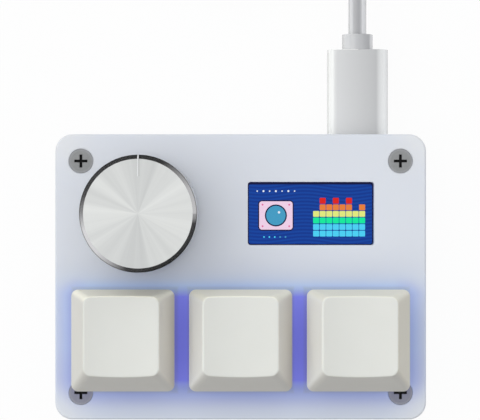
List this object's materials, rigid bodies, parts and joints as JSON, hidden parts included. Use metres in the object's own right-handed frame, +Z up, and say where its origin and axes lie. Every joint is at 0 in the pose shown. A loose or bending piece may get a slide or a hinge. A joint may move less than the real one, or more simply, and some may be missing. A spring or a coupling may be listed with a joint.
{
  "type": "macro keypad",
  "caption": "Small desk keypad with mechanical keys in a row, a push-and-turn knob and a small screen on a milky acrylic plate, with a USB lead.",
  "frame": {"origin": "middle of the casing's footprint, on the surface that the rubber feet stand on", "axes": "+X to the user's right along the row of keys, +Y to the rear where the lead leaves, +Z up"},
  "size_m": [0.0845, 0.1313, 0.0337],
  "materials": {
    "plate_acrylic": "milky, satin",
    "frame_acrylic": "milky, sawn edges polished",
    "foot_rubber": "matte",
    "screw_steel": "satin",
    "pillar_brass": "turned",
    "board_mask": "white solder mask",
    "chip_black": "moulded",
    "component_body": "matte",
    "led_lens": "clear lens, lit",
    "socket_plastic": "moulded",
    "usb_steel": "plated",
    "tongue_plastic": "moulded",
    "screen_glass": "lit colour screen",
    "backlight_white": "moulded",
    "ribbon_film": "amber film",
    "pad_foam": "foam",
    "keycap_plastic": "fine moulded grain",
    "stem_plastic": "moulded",
    "switch_cover_plastic": "frosted clear",
    "switch_base_plastic": "milky",
    "spring_steel": "drawn wire",
    "contact_copper": "stamped",
    "encoder_plastic": "moulded",
    "encoder_metal": "plated",
    "rotor_plastic": "moulded",
    "shaft_metal": "turned",
    "knob_aluminium": "turned face, polished bevel",
    "set_screw_steel": "blackened",
    "lead_plastic": "moulded, glossy",
    "tie_plastic": "moulded"
  },
  "bodies": {
    "casing": {"top_plate": "plate_acrylic", "upper_frame": "frame_acrylic", "lower_frame": "frame_acrylic", "bottom_plate": "plate_acrylic", "plate_screws": "screw_steel", "base_screws": "screw_steel", "pillars": "pillar_brass", "rubber_feet": "foot_rubber", "circuit_board": "board_mask", "processor_chip": "chip_black", "board_components": "component_body", "key_leds": "led_lens", "switch_sockets": "socket_plastic", "usb_socket_shell": "usb_steel", "usb_socket_tongue": "tongue_plastic", "display_glass": "screen_glass", "display_backlight": "backlight_white", "display_pad": "pad_foam", "display_ribbon": "ribbon_film", "encoder_base": "encoder_plastic", "encoder_bushing": "encoder_metal", "encoder_bracket": "encoder_metal", "encoder_detent_spring": "spring_steel", "push_dome": "spring_steel", "encoder_terminals": "contact_copper", "usb_plug_shell": "usb_steel", "usb_plug_body": "lead_plastic", "usb_plug_collar": "lead_plastic", "usb_cable": "lead_plastic", "cable_coil": "lead_plastic", "usb_cable_tail": "lead_plastic", "cable_tie": "tie_plastic", "far_plug_collar": "lead_plastic", "far_plug_body": "lead_plastic", "far_plug_shell": "usb_steel", "far_plug_tongue": "tongue_plastic", "left_switch_cover": "switch_cover_plastic", "left_switch_base": "switch_base_plastic", "left_switch_spring": "spring_steel", "left_switch_contacts": "contact_copper", "middle_switch_cover": "switch_cover_plastic", "middle_switch_base": "switch_base_plastic", "middle_switch_spring": "spring_steel", "middle_switch_contacts": "contact_copper", "right_switch_cover": "switch_cover_plastic", "right_switch_base": "switch_base_plastic", "right_switch_spring": "spring_steel", "right_switch_contacts": "contact_copper"},
    "key_left": {"left_keycap": "keycap_plastic", "left_switch_stem": "stem_plastic"},
    "key_middle": {"middle_keycap": "keycap_plastic", "middle_switch_stem": "stem_plastic"},
    "key_right": {"right_keycap": "keycap_plastic", "right_switch_stem": "stem_plastic"},
    "encoder_push": {"push_plunger": "rotor_plastic"},
    "knob": {"knob": "knob_aluminium", "encoder_shaft": "shaft_metal", "knob_set_screw": "set_screw_steel"},
    "rotor": {"encoder_rotor": "rotor_plastic"}
  },
  "joints": [
    {"name": "left_key_press", "type": "slide", "parent": "casing", "child": "key_left", "axis": [0, 0, -1], "range_m": [0, 0.004], "stiffness_N_per_m": 75, "springref_m": -0.004, "deforming": ["left_switch_spring"]},
    {"name": "middle_key_press", "type": "slide", "parent": "casing", "child": "key_middle", "axis": [0, 0, -1], "range_m": [0, 0.004], "stiffness_N_per_m": 75, "springref_m": -0.004, "deforming": ["middle_switch_spring"]},
    {"name": "right_key_press", "type": "slide", "parent": "casing", "child": "key_right", "axis": [0, 0, -1], "range_m": [0, 0.004], "stiffness_N_per_m": 75, "springref_m": -0.004, "deforming": ["right_switch_spring"]},
    {"name": "knob_press", "type": "slide", "parent": "casing", "child": "encoder_push", "axis": [0, 0, -1], "range_m": [0, 0.0005], "stiffness_N_per_m": 6000, "springref_m": -0.0003, "deforming": ["push_dome"]},
    {"name": "knob_turn", "type": "hinge", "parent": "encoder_push", "child": "knob", "pos_m": [-0.01723, 0.0111, 0.025], "axis": [0, 0, 1], "continuous": true},
    {"name": "rotor_turn", "type": "hinge", "parent": "casing", "child": "rotor", "pos_m": [-0.01723, 0.0111, 0.0135], "axis": [0, 0, 1], "continuous": true}
  ],
  "couplings": [
    {"joint": "rotor_turn", "follows": "knob_turn", "ratio": 1}
  ]
}
